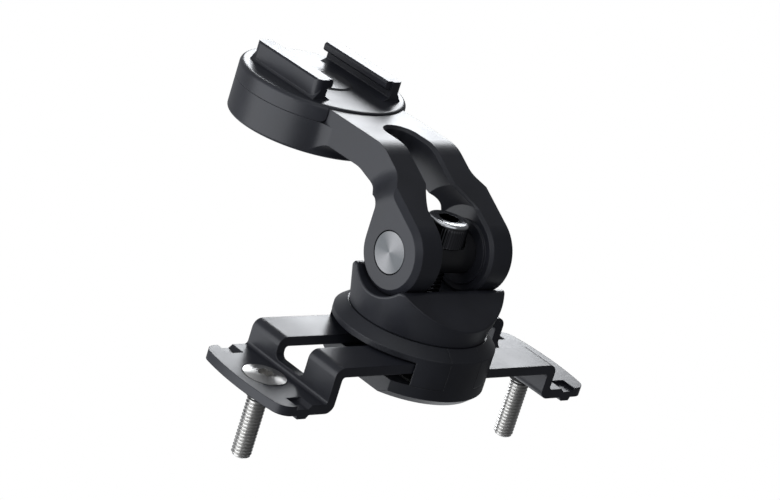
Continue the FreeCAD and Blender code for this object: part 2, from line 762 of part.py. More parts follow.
def open_fork(body):
    """The gap between the ears, turned around the pin's axis, and the slot that runs up the neck."""
    gap = new_sketch(body, "XZ_Plane", "arm_gap_sketch", shift_y="pin_height")
    polygon(gap, [
        ("-1 * boss_gap / 2", "0"),
        ("-1 * boss_gap / 2", "boss_radius"),
        ("-1 * fork_gap / 2", "boss_radius"),
        ("-1 * fork_gap / 2", "gap_radius"),
        ("-1 * slot_width / 2", "gap_fade"),
        ("slot_width / 2", "gap_fade"),
        ("fork_gap / 2", "gap_radius"),
        ("fork_gap / 2", "boss_radius"),
        ("boss_gap / 2", "boss_radius"),
        ("boss_gap / 2", "0"),
    ])
    turn(body, "Groove", "arm_gap", gap, "H_Axis")
    slot = new_sketch(body, "XY_Plane", "arm_slot_sketch")
    polygon(slot, [
        ("-1 * slot_width / 2", "-12"),
        ("slot_width / 2", "-12"),
        ("slot_width / 2", "slot_end"),
        ("-1 * slot_width / 2", "slot_end"),
    ])
    pocket(body, "arm_slot", slot, "60", reverse=True)
    half = value_of("slot_width / 2")
    end = value_of("slot_end")
    corners = [Vector(half, end, 0), Vector(-half, end, 0)]
    ease_edges(body, "Fillet", "arm_slot_end", edge_at(Z_AXIS, corners), "slot_width / 2 - 0.01")
    bore = new_sketch(body, "YZ_Plane", "arm_bore_sketch")
    circle(bore, "pin_dia / 2 + 0.03", "0", "pin_height")
    pocket(body, "arm_bore", bore, "fork_width + 2", symmetric=True)


def add_head_cup(body):
    """The round cup at the arm's end, blended into the neck."""
    disc = new_sketch(body, "XY_Plane", "arm_head_sketch", lift="head_bottom")
    circle(disc, "head_radius", "0", "head_y")
    pad(body, "arm_head", disc, "neck_top - head_bottom")

    def lower_rim(edge):
        return edge.BoundBox.ZLength < 1e-3 and abs(edge.CenterOfMass.z - value_of("head_bottom")) < 0.01
    ease_edges(body, "Fillet", "arm_head_rim", lower_rim, "0.6")


def mouth_bevel_size(edge):
    """Bevel of the edges where the gap and the slot open through the arm's top and round its ears."""
    point = edge.valueAt((edge.FirstParameter + edge.LastParameter) / 2)
    if abs(point.x) > value_of("fork_gap / 2") + 0.01 or point.y > value_of("slot_end") + 0.1:
        return 0
    if has_radius(edge, "gap_radius"):
        return 0
    tangent, shoulder = [Vector(0, value_of(across), value_of(up)) for across, up in arm_corners()[:2]]
    slope = (shoulder.z - tangent.z) / (shoulder.y - tangent.y)
    top = min(shoulder.z, tangent.z + slope * (point.y - tangent.y))
    on_top = point.y > tangent.y and -0.01 < top - point.z < 0.35
    on_ear = abs(math.hypot(point.y, point.z - value_of("pin_height")) - value_of("ear_radius")) < 0.01
    return value_of("mouth_bevel") if on_top or on_ear else 0


def neck_blend_size(edge):
    """Fillet radius of the edges where the neck's sides and underside run into the cup."""
    middle = edge.CenterOfMass
    beyond = middle.y - value_of("head_y")
    if beyond > 0:
        return 0
    at_side = runs_along(edge, Z_AXIS) and abs(abs(middle.x) - value_of("neck_width / 2")) < 0.05
    if at_side and abs(math.hypot(middle.x, beyond) - value_of("head_radius")) < 0.05:
        return value_of("side_blend")
    below = edge.BoundBox.ZLength < 1e-3 and abs(middle.z - value_of("neck_bottom")) < 0.01
    return value_of("under_blend") if below and has_radius(edge, "head_radius") else 0


def build_fork_arm():
    """CNC-cut arm: two ears, a slotted gooseneck and the round cup that carries the head cover."""
    body = new_body("fork_arm_blank")
    pad_arm_blank(body)
    chamfer_sides(body)
    narrow_neck(body)
    add_head_cup(body)
    open_fork(body)
    bevelled = soften("Chamfer", "arm_bevelled", body, mouth_bevel_size)
    blended = soften("Fillet", "arm_blended", bevelled, neck_blend_size)

    ring = cylinder("arm_ring_outer", "head_radius + 5", "6", "head_seam - 0.05", y="head_y")
    spigot = cylinder("arm_ring_inner", "head_radius - skirt_thick - 0.08", "8", "head_seam - 1", y="head_y")
    neck_share = box("arm_neck_share", "-1 * neck_width / 2", "neck_width / 2",
                     "0", "head_y", "head_seam - 1", "60")
    shoulder = cut("arm_shoulder_cut", ring, fuse("arm_shoulder_kept", spigot, neck_share))
    pocket_disc = cylinder("arm_cup_pocket", "head_radius - skirt_thick - cup_wall",
                           "20", "head_bottom + 2.4", y="head_y")
    post = cylinder("arm_cup_post", "5", "8", "head_bottom", y="head_y")
    post_top = cylinder("arm_cup_post_top", "5.5", "5", "head_bottom + 8", y="head_y")
    hollow = cut("arm_cup_hollow", pocket_disc, post)
    thread = cylinder("arm_thread", "head_screw_dia / 2 + 0.02", "6.5", "head_bottom + 2.2", y="head_y")
    rim_top = cylinder("arm_cup_rim_top", "head_radius + 5", "5", "neck_top - 1", y="head_y")
    rim = cut("arm_cup_rim_cut", rim_top, neck_share)
    dowels = [cylinder("arm_dowel_hole_" + tag, "dowel_dia / 2 + 0.02",
                       "3", "neck_top - 2.7", x=x, y="head_y")
              for tag, x in (("left", "-13.8"), ("right", "13.8"))]
    tools = fuse("arm_tools", shoulder, rim, hollow, post_top, thread, *dowels)
    return cut("fork_arm", blended, tools)


# ---------------------------------------------------------------- head

def rail_profile(side):
    """Cross-section of one rail: plain outer face, hooked lip and groove on the inner face."""
    base = "head_top - 0.2"
    top = "head_top + rail_high"
    lip = "head_top + rail_high - lip_high"
    return [
        (side + " * ( rail_outer + 0.3 )", base),
        (side + " * ( rail_outer + 0.3 )", "head_top"),
        (side + " * rail_outer", "head_top + 0.4"),
        (side + " * rail_outer", top + " - 0.35"),
        (side + " * ( rail_outer - 0.35 )", top),
        (side + " * ( rail_inner + 0.4 )", top),
        (side + " * rail_inner", top + " - 0.4"),
        (side + " * rail_inner", lip + " + 0.3"),
        (side + " * ( rail_inner + 0.3 )", lip),
        (side + " * ( rail_inner + groove_deep )", lip),
        (side + " * ( rail_inner + groove_deep )", "head_top + 0.7"),
        (side + " * ( rail_inner + 0.1 )", "head_top"),
        (side + " * ( rail_inner + 0.1 )", base),
    ]


def build_head_cover():
    """Disc cover with a short skirt, two hooked rails on top and a recess for the round plug."""
    body = new_body("head_cover_blank")
    disc = new_sketch(body, "XY_Plane", "cover_disc_sketch", lift="head_seam")
    circle(disc, "head_radius", "0", "head_y")
    pad(body, "cover_disc", disc, "head_top - head_seam")

    def top_rim(edge):
        return edge.BoundBox.ZLength < 1e-3 and abs(edge.CenterOfMass.z - value_of("head_top")) < 0.01
    ease_edges(body, "Fillet", "cover_rim", top_rim, "1.0")
    for side in ("1", "-1"):
        tag = "right" if side == "1" else "left"
        rail = new_sketch(body, "XZ_Plane", "cover_rail_sketch_" + tag, lift="rail_length / -2 - rail_y")
        polygon(rail, rail_profile(side))
        pad(body, "cover_rail_" + tag, rail, "rail_length")
    middle = value_of("rail_y")
    half_length = value_of("rail_length / 2")
    corners = [Vector(side * value_of("rail_outer"), middle + end * half_length, 0)
               for side in (1, -1) for end in (1, -1)]
    ease_edges(body, "Fillet", "cover_rail_corners", edge_at(Z_AXIS, corners), "1.5")

    plate_bottom = "neck_top - 0.94"
    below = cylinder("cover_below", "head_radius - skirt_thick", "20", plate_bottom + " - 20", y="head_y")
    hub = cylinder("cover_hub", "head_radius - skirt_thick - cup_wall - 0.15",
                   "10", "head_bottom + 8.1", y="head_y")
    neck_gap = box("cover_neck_gap", "-1 * neck_width / 2 - 0.08", "neck_width / 2 + 0.08",
                   "0", "head_y", "0", "neck_top + 0.06")
    hollow = fuse("cover_hollow", cut("cover_hollow_ring", below, hub),
                  cut("cover_gap_share", neck_gap, hub))
    recess = cylinder("cover_plug_recess", "plug_dia / 2 + 0.04", "5", "head_top - 0.8", y="head_y")
    seat = cylinder("cover_screw_seat", "4.9", "5", "head_top - 1.9", y="head_y")
    bore = cylinder("cover_screw_bore", "head_screw_dia / 2 + 0.2", "20", "head_bottom", y="head_y")
    dowels = [cylinder("cover_dowel_hole_" + tag, "dowel_dia / 2 + 0.02",
                       "1.4", "neck_top - 1.5", x=x, y="head_y")
              for tag, x in (("left", "-13.8"), ("right", "13.8"))]
    lips = [box("cover_lip_end_" + tag, low, high, "rail_y - rail_length / 2 - 1",
                "rail_y - rail_length / 2 + lip_set_back",
                "head_top + rail_high - lip_high - 0.2", "head_top + 10")
            for tag, low, high in (("right", "rail_inner - 1", "rail_inner + groove_deep"),
                                   ("left", "-1 * rail_inner - groove_deep", "1 - rail_inner"))]
    tools = fuse("cover_tools", hollow, recess, seat, bore, *dowels, *lips)
    half_gap = value_of("neck_width / 2 + 0.08")

    def skirt_corner_size(edge):
        middle = edge.CenterOfMass
        at_gap = runs_along(edge, Y_AXIS) and abs(abs(middle.x) - half_gap) < 0.01
        return 1.2 if at_gap and abs(middle.z - value_of("head_seam")) < 0.01 else 0
    return soften("Fillet", "head_cover", cut("cover_sharp", body, tools), skirt_corner_size)


def build_head_screw():
    """Low-head screw that holds the cover to the post in the arm's cup."""
    shank = cylinder("head_screw_shank", "head_screw_dia / 2", "6.5", "head_top - 7.9", y="head_y")
    head = cylinder("head_screw_head", "4.6", "0.95", "head_top - 1.85", y="head_y")
    neck = cylinder("head_screw_neck", "head_screw_dia / 2", "1", "head_top - 2", y="head_y")
    socket = hexagon("head_screw_socket", "3", "3", "head_top - 1.55", y="head_y")
    return cut("head_screw", fuse("head_screw_blank", shank, neck, head), socket)


def build_centre_plug():
    """Shallow domed plug over the head screw, between the rails."""
    disc = cylinder("centre_plug_disc", "plug_dia / 2", "0.75", "head_top - 0.75", y="head_y")
    crown = cone("centre_plug_crown", "plug_dia / 2", "plug_dia / 2 - 0.5", "0.3", "head_top", y="head_y")
    return fuse("centre_plug", disc, crown)


def build_dowels():
    """Two dowel pins that stop the cover from turning on the arm."""
    pins = [cylinder("dowel_" + tag, "dowel_dia / 2", "2.4", "neck_top - 2.6", x=x, y="head_y")
            for tag, x in (("left", "-13.8"), ("right", "13.8"))]
    return fuse("head_dowels", *pins)


# ---------------------------------------------------------------- assembly and export

PARTS = {
    "left_bracket": build_bracket("left_bracket", False),
    "right_bracket": build_bracket("right_bracket", True),
    "left_reservoir_screw": build_reservoir_screw("left_reservoir_screw", "-1"),
    "right_reservoir_screw": build_reservoir_screw("right_reservoir_screw", "1"),
    "left_screw_retainer": build_retainer("left_screw_retainer", "-1"),
    "right_screw_retainer": build_retainer("right_screw_retainer", "1"),
    "base_cup": build_base_cup(),
    "base_cap": build_base_cap(),
    "lower_grip_pads": build_grip_pads("lower_grip_pads", "cup_rim + pad_proud - pad_thick"),
    "upper_grip_pads": build_grip_pads("upper_grip_pads", "cap_edge - pad_proud"),
    "clamp_nut": build_clamp_nut(),
    "swivel_washer": build_swivel_washer(),
    "swivel_collar": build_swivel_collar(),
    "cross_pin": build_cross_pin(),
    "clamp_screw": build_clamp_screw(),
    "fork_arm": build_fork_arm(),
    "head_cover": build_head_cover(),
    "head_screw": build_head_screw(),
    "centre_plug": build_centre_plug(),
    "head_dowels": build_dowels(),
}


def check_document():
    """Stops the run if any object failed, or if a part is empty or broken."""
    failed = [thing.Name for thing in doc.Objects if "Invalid" in thing.State or "Error" in thing.State]
    if failed:
        raise RuntimeError("failed objects: " + ", ".join(failed))
    for name, thing in PARTS.items():
        if thing.Shape.isNull() or not thing.Shape.isValid() or not thing.Shape.Solids:
            raise RuntimeError(name + " has no valid solid")


def export_parts():
    os.makedirs("parts", exist_ok=True)
    for name, thing in PARTS.items():
        thing.Label = name
        thing.Shape.exportStep("parts/%s.step" % name)
        bounds = thing.Shape.BoundBox
        extent = [round(v, 2) for v in (bounds.XMin, bounds.XMax, bounds.YMin,
                                        bounds.YMax, bounds.ZMin, bounds.ZMax)]
        print("%-24s solids %d  volume %9.2f  %s" % (
            name, len(thing.Shape.Solids), thing.Shape.Volume, extent))


doc.recompute()
check_document()
export_parts()
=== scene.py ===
"""Studio scene of a phone mount that bolts to a brake- or clutch-fluid reservoir.

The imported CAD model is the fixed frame. This script gives every CAD node its finish, and builds the
threaded fasteners, which the CAD model only holds as plain shanks. Lengths are in metres.
"""

import json
import math

import bmesh
import bpy
from mathutils import Matrix, Vector


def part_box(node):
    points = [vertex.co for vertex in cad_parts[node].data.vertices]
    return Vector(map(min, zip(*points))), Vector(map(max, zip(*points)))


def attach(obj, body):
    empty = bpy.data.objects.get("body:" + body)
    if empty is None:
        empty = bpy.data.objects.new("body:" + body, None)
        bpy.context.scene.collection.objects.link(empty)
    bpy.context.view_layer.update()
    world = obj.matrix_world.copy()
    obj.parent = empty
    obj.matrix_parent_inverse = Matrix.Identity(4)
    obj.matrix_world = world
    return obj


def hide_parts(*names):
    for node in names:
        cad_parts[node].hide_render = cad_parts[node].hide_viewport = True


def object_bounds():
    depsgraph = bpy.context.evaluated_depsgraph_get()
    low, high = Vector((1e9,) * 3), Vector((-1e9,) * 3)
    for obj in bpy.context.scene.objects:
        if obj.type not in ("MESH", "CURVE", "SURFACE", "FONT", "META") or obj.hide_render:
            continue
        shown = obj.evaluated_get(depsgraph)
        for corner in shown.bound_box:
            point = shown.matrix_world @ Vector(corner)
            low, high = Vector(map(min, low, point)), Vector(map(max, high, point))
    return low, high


MM = 0.001
STUDIO_WHITE = (0.94, 0.965, 1.0)
ROOM_GREY = 0.34
DARK_WALL = 0.10
TABLE_GLOW = 1.3
FLOOR_DROP = 0.1
FLOOR_HALF_WIDTH = 2.0
LIGHT_TARGET = (0.0, 0.01, 0.02)

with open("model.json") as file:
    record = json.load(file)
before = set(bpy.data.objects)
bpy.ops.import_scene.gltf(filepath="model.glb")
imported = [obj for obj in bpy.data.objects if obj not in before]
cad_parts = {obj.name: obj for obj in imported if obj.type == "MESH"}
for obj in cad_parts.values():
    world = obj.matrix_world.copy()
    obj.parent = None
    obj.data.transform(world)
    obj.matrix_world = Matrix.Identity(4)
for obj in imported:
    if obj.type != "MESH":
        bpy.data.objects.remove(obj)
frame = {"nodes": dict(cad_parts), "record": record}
cad_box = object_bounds()
nodes = frame["nodes"]


# ---------------------------------------------------------------- shader helpers

def new_material(name):
    """An empty node material and its node tree."""
    material = bpy.data.materials.new(name)
    material.use_nodes = True
    tree = material.node_tree
    tree.nodes.clear()
    return material, tree


def feed(tree, socket, value):
    """Sets an input to a value, or links it to another socket."""
    if isinstance(value, bpy.types.NodeSocket):
        tree.links.new(value, socket)
    else:
        socket.default_value = value


def add_node(tree, kind, **inputs):
    """Adds a shader node and feeds its inputs by name."""
    node = tree.nodes.new(kind)
    for name, value in inputs.items():
        feed(tree, node.inputs[name.replace("_", " ")], value)
    return node


def calculate(tree, operation, first, second=0.0):
    """One step of arithmetic on values or sockets."""
    node = tree.nodes.new("ShaderNodeMath")
    node.operation = operation
    feed(tree, node.inputs[0], first)
    feed(tree, node.inputs[1], second)
    return node.outputs["Value"]


def object_place(tree):
    """Where a point is in the row frame, in metres."""
    return tree.nodes.new("ShaderNodeTexCoord").outputs["Object"]


def noise(tree, size, detail):
    """Noise whose grains are about size metres across."""
    return add_node(tree, "ShaderNodeTexNoise", Vector=object_place(tree), Scale=1.0 / size,
                    Detail=detail).outputs["Fac"]


def remap(tree, value, low, high, from_low=0.3, from_high=0.7):
    """Stretches a value from one range to another. The default range is that of most noise."""
    node = add_node(tree, "ShaderNodeMapRange", Value=value, From_Min=from_low, From_Max=from_high,
                    To_Min=low, To_Max=high)
    return node.outputs["Result"]


def mix_colour(tree, factor, first, second):
    """Blends two colours, each given as three numbers or as a socket."""
    node = tree.nodes.new("ShaderNodeMix")
    node.data_type = "RGBA"
    feed(tree, node.inputs[0], factor)
    for socket, colour in ((node.inputs[6], first), (node.inputs[7], second)):
        feed(tree, socket, colour if isinstance(colour, bpy.types.NodeSocket) else (*colour, 1.0))
    return node.outputs[2]


def shade(colour, share):
    """A colour made darker or lighter."""
    return tuple(share * channel for channel in colour)


def soft_edges(tree, radius):
    """A normal that rounds every edge by a radius, as a broken edge is on a machined part."""
    node = tree.nodes.new("ShaderNodeBevel")
    node.samples = 6
    node.inputs["Radius"].default_value = radius
    return node.outputs["Normal"]


def bump(tree, height, depth, normal):
    """Adds fine relief of a depth to a normal."""
    return add_node(tree, "ShaderNodeBump", Strength=1.0, Distance=depth,
                    Height=height, Normal=normal).outputs["Normal"]


def finish_material(tree, **inputs):
    """Ends a material with a principled shader, which is returned."""
    shader = add_node(tree, "ShaderNodeBsdfPrincipled", **inputs)
    output = tree.nodes.new("ShaderNodeOutputMaterial")
    tree.links.new(shader.outputs["BSDF"], output.inputs["Surface"])
    return shader


# ---------------------------------------------------------------- materials

def blasted_black(name, base, gloss, grain_size, grain_depth, edge_radius):
    """Black anodised metal: a fine blasted grain, faint cloudiness and slightly broken edges."""
    material, tree = new_material(name)
    cloud = noise(tree, 9 * MM, detail=3.0)
    grain = noise(tree, grain_size, detail=1.0)
    colour = mix_colour(tree, remap(tree, cloud, 0.0, 1.0), shade(base, 0.8), shade(base, 1.25))
    rough = remap(tree, cloud, gloss - 0.03, gloss + 0.03)
    normal = bump(tree, grain, grain_depth, soft_edges(tree, edge_radius))
    finish_material(tree, Base_Color=colour, Roughness=rough, Normal=normal, IOR=1.5)
    return material


def bright_metal(name, base, gloss, grain_size, edge_radius):
    """Bare steel with a little uneven polish."""
    material, tree = new_material(name)
    cloud = noise(tree, grain_size, detail=3.0)
    rough = remap(tree, cloud, gloss - 0.02, gloss + 0.02)
    colour = mix_colour(tree, remap(tree, cloud, 0.0, 1.0), shade(base, 0.94), base)
    finish_material(tree, Base_Color=colour, Roughness=rough, Metallic=1.0,
                    Normal=soft_edges(tree, edge_radius))
    return material


def knurled_steel(name, base, painted_shade_colour, gloss):
    """Steel screw whose upward-facing top and rim keep the bright steel colour. Its knurled side, socket
    and thread get a dark colour instead, painted shade rather than a different finish.
    """
    lit_top_height = 1.5 * MM
    material, tree = new_material(name)
    coordinates = tree.nodes.new("ShaderNodeTexCoord").outputs
    facing = add_node(tree, "ShaderNodeSeparateXYZ", Vector=coordinates["Normal"]).outputs["Z"]
    height = add_node(tree, "ShaderNodeSeparateXYZ", Vector=coordinates["Object"]).outputs["Z"]
    # Painted shade: only faces near the head's top that face up keep the steel colour, everything else on
    # the screw is painted dark.
    on_head = calculate(tree, "GREATER_THAN", height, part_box("clamp_screw")[1].z - lit_top_height)
    upward = remap(tree, calculate(tree, "ABSOLUTE", facing), 0.0, 1.0, 0.1, 0.6)
    lit_top_share = calculate(tree, "MULTIPLY", upward, on_head)
    finish_material(tree, Base_Color=mix_colour(tree, lit_top_share, painted_shade_colour, base), Roughness=gloss,
                    Metallic=1.0, Normal=soft_edges(tree, 0.05 * MM))
    return material


def turned_steel(name, black, fan_shade_colour, fan_highlight_colour):
    """Black pin with bare ends, faced on a lathe: rings around the X axis set the roughness and the
    anisotropic tangent. The fan-shaped highlights on the bare ends are painted into the steel colour,
    which turns lighter and darker with the angle around the axis.
    """
    ring_pitch = 0.35 * MM
    bare_depth = 0.15 * MM
    highlight_fan_start = 0.6
    low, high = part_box("cross_pin")
    material, tree = new_material(name)
    tangent = tree.nodes.new("ShaderNodeTangent")
    tangent.direction_type = "RADIAL"
    tangent.axis = "X"
    place = add_node(tree, "ShaderNodeVectorMath", Vector=object_place(tree))
    place.operation = "SUBTRACT"
    place.inputs[1].default_value = (low + high) / 2
    rings = add_node(tree, "ShaderNodeTexWave", Scale=0.5 / ring_pitch, Vector=place.outputs["Vector"])
    rings.wave_type = "RINGS"
    rings.rings_direction = "X"
    along = add_node(tree, "ShaderNodeSeparateXYZ", Vector=place.outputs["Vector"]).outputs
    bare_from = (high.x - low.x) / 2 - bare_depth
    bare = calculate(tree, "GREATER_THAN", calculate(tree, "ABSOLUTE", along["X"]), bare_from)
    # Painted highlights: the steel colour of the bare ends swings between a dark and a light colour in
    # fans around the axis.
    twice_angle = calculate(tree, "MULTIPLY", calculate(tree, "ARCTAN2", along["Y"], along["Z"]), 2.0)
    painted_fan_highlights = calculate(tree, "COSINE", calculate(tree, "ADD", twice_angle, highlight_fan_start))
    steel = mix_colour(tree, remap(tree, painted_fan_highlights, 0.0, 1.0, -0.8, 0.9), fan_shade_colour, fan_highlight_colour)
    shader = finish_material(tree, Base_Color=mix_colour(tree, bare, black, steel), Metallic=bare,
                             Roughness=remap(tree, rings.outputs["Fac"], 0.26, 0.36, 0.0, 1.0),
                             Anisotropic=0.85, Normal=soft_edges(tree, 0.1 * MM))
    tree.links.new(tangent.outputs["Tangent"], shader.inputs["Tangent"])
    return material


def soft_plastic(name, base, gloss, grain_depth):
    """Moulded rubber or plastic with a fine mould grain."""
    material, tree = new_material(name)
    grain = noise(tree, 0.25 * MM, detail=2.0)
    colour = mix_colour(tree, grain, shade(base, 0.85), shade(base, 1.15))
    finish_material(tree, Base_Color=colour, Roughness=gloss,
                    Normal=bump(tree, grain, grain_depth, soft_edges(tree, 0.12 * MM)))
    return material


FINISHES = (
    ("black_sheet", blasted_black, (0.017, 0.018, 0.024), 0.36, 0.30 * MM, 0.003 * MM, 0.25 * MM),
    ("black_anodised", blasted_black, (0.019, 0.020, 0.026), 0.36, 0.18 * MM, 0.003 * MM, 0.22 * MM),
    ("black_base", blasted_black, (0.015, 0.016, 0.021), 0.36, 0.20 * MM, 0.003 * MM, 0.22 * MM),
    ("stainless", bright_metal, (0.70, 0.69, 0.67), 0.30, 3.0 * MM, 0.03 * MM),
    # bright_steel: steel colour, then the dark colour painted on the screw as shade, then roughness.
    ("bright_steel", knurled_steel, (0.78, 0.79, 0.81), (0.09, 0.09, 0.10), 0.20),
    # turned_pin: black, then the dark and light steel colours of the painted highlight fans on the bare
    # ends.
    ("turned_pin", turned_steel, (0.017, 0.017, 0.019), (0.12, 0.125, 0.13), (0.27, 0.27, 0.275)),
    ("rubber", soft_plastic, (0.02, 0.02, 0.02), 0.7, 0.01 * MM),
    ("bearing_plastic", soft_plastic, (0.05, 0.05, 0.05), 0.45, 0.004 * MM),
    ("plug_plastic", soft_plastic, (0.045, 0.046, 0.05), 0.28, 0.002 * MM),
)
MATERIALS = {slot: make(slot, *values) for slot, make, *values in FINISHES}


def paint(piece, slot):
    """Gives a whole piece one finish."""
    piece.data.materials.clear()
    piece.data.materials.append(MATERIALS[slot])


def paint_cad_nodes():
    """Gives every CAD node the finish that the record names for it."""
    for part in frame["record"]["subparts"]:
        paint(nodes[part["node"]], part["material_slot"])


# ---------------------------------------------------------------- fasteners

def add_ring(mesh, centre, radii, height):
    """A closed ring of vertices around the Z axis, one for each radius."""
    ring = []
    for step, radius in enumerate(radii):
        angle = 2 * math.pi * step / len(radii)
        ring.append(mesh.verts.new((centre.x + radius * math.cos(angle),
                                    centre.y + radius * math.sin(angle), height)))
    return ring


def skin(mesh, rings):
    """Joins rings from the bottom up with faces, and closes both ends."""
    for lower, upper in zip(rings, rings[1:]):
        for step in range(len(lower)):
            following = (step + 1) % len(lower)
            mesh.faces.new((lower[step], lower[following], upper[following], upper[step]))
    mesh.faces.new(reversed(rings[0]))
    mesh.faces.new(rings[-1])


def lathe(mesh, outline, centre, steps, knurled, knurl_depth):
    """Turns an outline of (radius, height) pairs around the Z axis.

    Rows of the outline that are listed in knurled get fine upright grooves, one every fourth step.
    """
    rings = []
    for row, (outer, height) in enumerate(outline):
        depth = knurl_depth if row in knurled else 0.0
        radii = [outer - depth * abs(step % 4 - 2) / 2 for step in range(steps)]
        rings.append(add_ring(mesh, centre, radii, height))
    skin(mesh, rings)


def thread_radius(turns, crest, depth):
    """Radius of a 60 degree thread at a place counted in turns: crest, flank, root and flank."""
    place = turns % 1.0
    slope = abs(2 * place - 1.0)
    return crest - depth * min(1.0, max(0.0, (slope - 0.12) / 0.66))


def threaded_rod(mesh, centre, crest, pitch, bottom, top, plain_radius):
    """A helical thread from bottom to top, with a bevelled tip and a runout into a plain shank."""
    steps = 48
    rows_per_turn = 12
    rows = int(round((top - bottom) / pitch * rows_per_turn))
    depth = 0.61 * pitch
    tip_radius = crest - depth - 0.1 * pitch
    runout_length = 1.2 * pitch
    rings = []
    for row in range(rows + 1):
        height = bottom + (top - bottom) * row / rows
        runout = min(1.0, max(0.0, (top - height) / runout_length))
        radii = []
        for step in range(steps):
            cut = thread_radius((height - bottom) / pitch - step / steps, crest, depth)
            radii.append(min(tip_radius + (height - bottom), plain_radius + (cut - plain_radius) * runout))
        rings.append(add_ring(mesh, centre, radii, height))
    skin(mesh, rings)


def prism(mesh, outline, centre, bottom, top):
    """An upright prism over a closed outline of (x, y) pairs."""
    skin(mesh, [[mesh.verts.new((centre.x + x, centre.y + y, height)) for x, y in outline]
                for height in (bottom, top)])


def star_outline(outer, inner, steps=72):
    """Outline of a six-lobe recess."""
    middle = (outer + inner) / 2
    swing = (outer - inner) / 2
    outline = []
    for step in range(steps):
        angle = 2 * math.pi * step / steps
        radius = middle + swing * math.cos(6 * angle)
        outline.append((radius * math.cos(angle), radius * math.sin(angle)))
    return outline


def hexagon_outline(across):
    """Outline of a hexagon socket from its width across flats."""
    corner = across / math.sqrt(3)
    return [(corner * math.cos(math.pi * k / 3), corner * math.sin(math.pi * k / 3)) for k in range(6)]


def make_object(name, mesh):
    """A scene object from a finished bmesh."""
    data = bpy.data.meshes.new(name)
    mesh.to_mesh(data)
    mesh.free()
    piece = bpy.data.objects.new(name, data)
    bpy.context.scene.collection.objects.link(piece)
    return piece


def apply_modifiers(piece):
    """Replaces the mesh of a piece by its result after modifiers."""
    bpy.context.view_layer.update()
    evaluated = piece.evaluated_get(bpy.context.evaluated_depsgraph_get())
    result = bpy.data.meshes.new_from_object(evaluated)
    piece.modifiers.clear()
    piece.data = result


def cut_away(piece, tool):
    """Subtracts a tool from a piece and removes the tool."""
    modifier = piece.modifiers.new("cut", "BOOLEAN")
    modifier.operation = "DIFFERENCE"
    modifier.solver = "EXACT"
    modifier.object = tool
    apply_modifiers(piece)
    bpy.data.objects.remove(tool)


def smooth_by_angle(piece, degrees):
    """Smooth shading that stays sharp where faces meet at more than the angle."""
    mesh = bmesh.new()
    mesh.from_mesh(piece.data)
    bmesh.ops.remove_doubles(mesh, verts=mesh.verts, dist=1e-7)
    for face in mesh.faces:
        face.smooth = True
    for edge in mesh.edges:
        edge.smooth = edge.calc_face_angle(0.0) < math.radians(degrees)
    mesh.to_mesh(piece.data)
    mesh.free()


def arc(centre_radius, centre_height, size, start, end, steps):
    """Points of a rounded corner in an outline, from a start angle to an end angle in degrees."""
    points = []
    for step in range(steps + 1):
        angle = math.radians(start + (end - start) * step / steps)
        points.append((centre_radius + size * math.cos(angle), centre_height + size * math.sin(angle)))
    return points


def build_screw(node, slot, body, shank, head_outline, recess, recess_depth, knurled=()):
    """A screw that stands for a CAD screw: helical thread, turned head and driven recess.

    The shank is given as its crest radius, pitch, top and plain radius above the thread.
    """
    head_steps = 192
    knurl_depth = 0.14 * MM
    crease_angle = 32
    low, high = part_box(node)
    centre = (low + high) / 2
    mesh = bmesh.new()
    lathe(mesh, head_outline, centre, head_steps, knurled, knurl_depth)
    head = make_object(node + "_threaded", mesh)
    mesh = bmesh.new()
    prism(mesh, recess, centre, high.z - recess_depth, high.z + 1 * MM)
    cut_away(head, make_object("recess_tool", mesh))
    mesh = bmesh.new()
    mesh.from_mesh(head.data)
    crest, pitch, shank_top, plain_radius = shank
    threaded_rod(mesh, centre, crest, pitch, low.z, shank_top, plain_radius)
    mesh.to_mesh(head.data)
    mesh.free()
    smooth_by_angle(head, crease_angle)
    paint(head, slot)
    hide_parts(node)
    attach(head, body)


def build_reservoir_screw(node, body):
    """M4 raised countersunk screw with a six-lobe recess and a waist for its retaining ring."""
    low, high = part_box(node)
    radius = (high.x - low.x) / 2
    pitch = 0.7 * MM
    core = 1.98 * MM
    waist = 1.7 * MM
    dome = 0.65 * MM
    rim_edge = 0.1 * MM
    crown_rows = 48
    rim = high.z - dome
    seat = rim - (radius - core)
    ring_top = rim - 2.87 * MM
    ring_bottom = ring_top - 1.58 * MM
    outline = [(waist, ring_bottom), (waist, ring_top), (core, ring_top), (core, seat), (radius, rim)]
    for row in range(crown_rows):
        share = 1 - 0.02 * row
        outline.append((radius * share, high.z - (dome - rim_edge) * share ** 2))
    recess = star_outline(outer=1.80 * MM, inner=1.25 * MM)
    build_screw(node, "stainless", body, (core, pitch, ring_bottom + 0.1 * MM, waist), outline,
                recess, 1.7 * MM)


def build_clamp_screw(node, body):
    """M5 socket-head cap screw with a knurled head."""
    low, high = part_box(node)
    radius = (high.x - low.x) / 2
    pitch = 0.8 * MM
    core = 2.48 * MM
    seat_edge = 0.2 * MM
    rounding = 0.75 * MM
    seat = high.z - 5.0 * MM
    shoulder = high.z - rounding
    outline = [(radius - seat_edge, seat), (radius, seat + seat_edge), (radius, seat + 2 * seat_edge),
               (radius, shoulder - 0.4 * MM), (radius, shoulder - 0.2 * MM)]
    outline += arc(radius - rounding, shoulder, rounding, 0, 90, 8)
    build_screw(node, "bright_steel", body, (core, pitch, seat + seat_edge, core), outline,
                hexagon_outline(4.0 * MM), 2.5 * MM, knurled=(2, 3))


# ---------------------------------------------------------------- stage, light and camera

def aim(thing, place, target):
    """Puts a light at a place with its beam towards a target."""
    thing.location = place
    thing.rotation_euler = (Vector(target) - Vector(place)).to_track_quat("-Z", "Y").to_euler()


